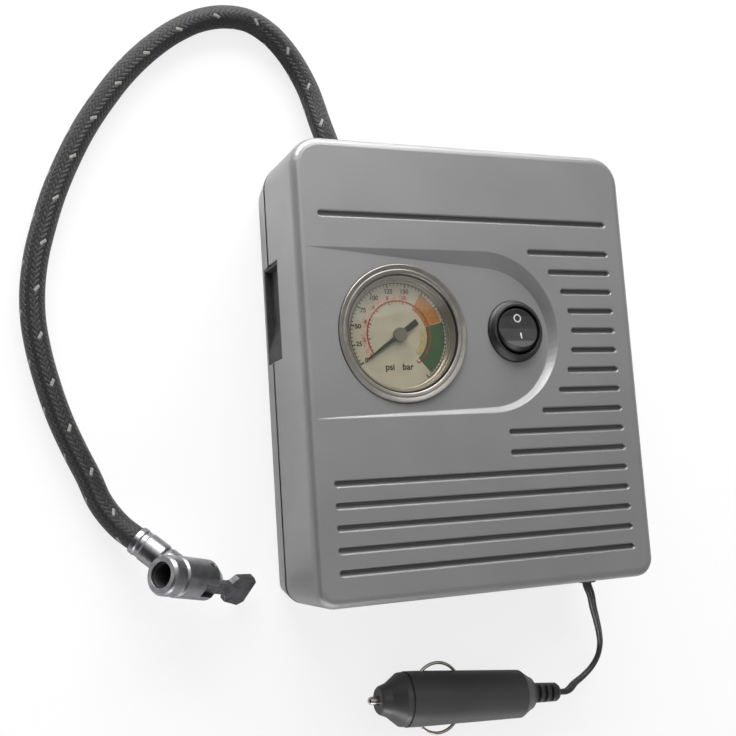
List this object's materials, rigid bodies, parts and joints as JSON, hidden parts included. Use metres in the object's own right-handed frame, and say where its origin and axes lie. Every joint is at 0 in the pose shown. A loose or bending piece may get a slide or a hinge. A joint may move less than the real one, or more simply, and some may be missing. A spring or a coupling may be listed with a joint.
{
  "type": "portable tire inflator",
  "caption": "Portable 12 V air compressor for tyres: boxed casing with round gauge and rocker switch, braided hose with thumb-lock chuck, flat lead with socket plug.",
  "frame": {"origin": "middle of the casing's rear face, on the surface that it lies on", "axes": "+Z out of the instrument panel, +Y towards the hose end of the casing, +X across the casing from the gauge to the switch"},
  "size_m": [0.2273, 0.2854, 0.0524],
  "materials": {
    "casing": "satin silver-grey moulded plastic",
    "black_plastic": "semi-gloss black moulded plastic",
    "black_gloss": "gloss black",
    "black_rubber": "matt black",
    "braided_hose": "charcoal braid with light flecks",
    "tube": "smooth dark tube",
    "clear_lens": "clear",
    "bright_rim": "polished",
    "dial": "printed cream dial",
    "black_paint": "matt black",
    "brass": "turned",
    "steel": "zinc-plated",
    "zinc": "satin plated casting",
    "cast_alloy": "as cast and machined",
    "armature": "laminated core with copper windings",
    "carbon": "carbon",
    "gear_plastic": "natural acetal",
    "fuse_glass": "glass tube with metal caps"
  },
  "bodies": {
    "casing": {"air_hose": "braided_hose", "bourdon_tube": "brass", "case_screws": "steel", "chuck_body": "zinc", "chuck_seal": "black_rubber", "cord_grommet": "black_rubber", "cylinder_head": "cast_alloy", "cylinder_sleeve": "cast_alloy", "drive_frame": "cast_alloy", "frame_screws": "steel", "front_shell": "casing", "gauge_bezel": "bright_rim", "gauge_case": "black_plastic", "gauge_dial": "dial", "gauge_lens": "clear_lens", "gauge_movement": "brass", "gauge_stem": "brass", "gauge_tube": "tube", "gear_axle": "steel", "head_screws": "steel", "hose_ferrule": "zinc", "hose_fitting": "brass", "hose_gland": "black_rubber", "lever_pin": "steel", "motor_brushes": "carbon", "motor_can": "steel", "motor_endcap": "black_plastic", "motor_magnets": "armature", "motor_screws": "steel", "motor_terminals": "brass", "plug_body": "black_plastic", "plug_boot": "black_rubber", "plug_fuse": "fuse_glass", "plug_nose": "black_plastic", "plug_spring": "steel", "power_cord": "black_rubber", "rear_shell": "casing", "side_grip": "black_plastic", "supply_tube": "tube", "switch_housing": "black_plastic", "switch_terminals": "brass", "valve_spring": "steel"},
    "rocker": {"switch_rocker": "black_gloss"},
    "sector": {"gauge_sector": "brass"},
    "pointer": {"gauge_needle": "black_paint"},
    "rotor": {"motor_shaft": "steel", "motor_armature": "armature", "motor_pinion": "brass"},
    "crank": {"crank_gear": "gear_plastic"},
    "piston_set": {"piston": "cast_alloy", "piston_pin": "steel", "piston_ring": "black_rubber"},
    "rod_set": {"connecting_rod": "cast_alloy", "big_end_bush": "brass", "crank_pin": "steel"},
    "valve": {"outlet_valve": "black_rubber"},
    "lever": {"chuck_lever": "zinc"},
    "tip_contact": {"plug_tip": "zinc"},
    "upper_contact": {"plug_contact_upper": "steel"},
    "lower_contact": {"plug_contact_lower": "steel"}
  },
  "joints": [
    {"name": "switch_rock", "type": "hinge", "parent": "casing", "child": "rocker", "pos_m": [0.0167, 0.0123, 0.0465], "axis": [1, 0, 0], "range_deg": [0, 18]},
    {"name": "sector_turn", "type": "hinge", "parent": "casing", "child": "sector", "pos_m": [-0.0297, 0.0003, 0.036], "axis": [0, 0, 1], "range_deg": [0, 45], "stiffness_Nm_per_rad": 0.0002},
    {"name": "pointer_turn", "type": "hinge", "parent": "casing", "child": "pointer", "pos_m": [-0.0297, 0.0115, 0.04], "axis": [0, 0, 1], "range_deg": [-270, 0]},
    {"name": "rotor_spin", "type": "hinge", "parent": "casing", "child": "rotor", "pos_m": [0.046, -0.02, 0.025], "axis": [0, 1, 0], "continuous": true},
    {"name": "crank_spin", "type": "hinge", "parent": "casing", "child": "crank", "pos_m": [0.0229, -0.052, 0.025], "axis": [0, 1, 0], "continuous": true},
    {"name": "piston_slide", "type": "slide", "parent": "casing", "child": "piston_set", "axis": [-1, 0, 0], "range_m": [0, 0.01]},
    {"name": "rod_swing", "type": "hinge", "parent": "piston_set", "child": "rod_set", "pos_m": [-0.0031, -0.0605, 0.025], "axis": [0, 1, 0], "range_deg": [-9.3, 9.3]},
    {"name": "valve_lift", "type": "slide", "parent": "casing", "child": "valve", "axis": [-1, 0, 0], "range_m": [0, 0.001], "stiffness_N_per_m": 150, "deforming": ["valve_spring"]},
    {"name": "lever_flip", "type": "hinge", "parent": "casing", "child": "lever", "pos_m": [-0.09816, -0.07089, 0.01506], "axis": [-0.4662, -0.7679, -0.4393], "range_deg": [0, 90]},
    {"name": "tip_press", "type": "slide", "parent": "casing", "child": "tip_contact", "axis": [0.9962, -0.0872, 0], "range_m": [0, 0.0025], "stiffness_N_per_m": 400, "deforming": ["plug_spring"]},
    {"name": "upper_contact_press", "type": "slide", "parent": "casing", "child": "upper_contact", "axis": [-0.0872, -0.9962, 0], "range_m": [0, 0.0015], "stiffness_N_per_m": 500},
    {"name": "lower_contact_press", "type": "slide", "parent": "casing", "child": "lower_contact", "axis": [0.0872, 0.9962, 0], "range_m": [0, 0.0015], "stiffness_N_per_m": 500}
  ],
  "couplings": [
    {"joint": "pointer_turn", "follows": "sector_turn", "ratio": -6},
    {"joint": "crank_spin", "follows": "rotor_spin", "ratio": -0.22222}
  ]
}
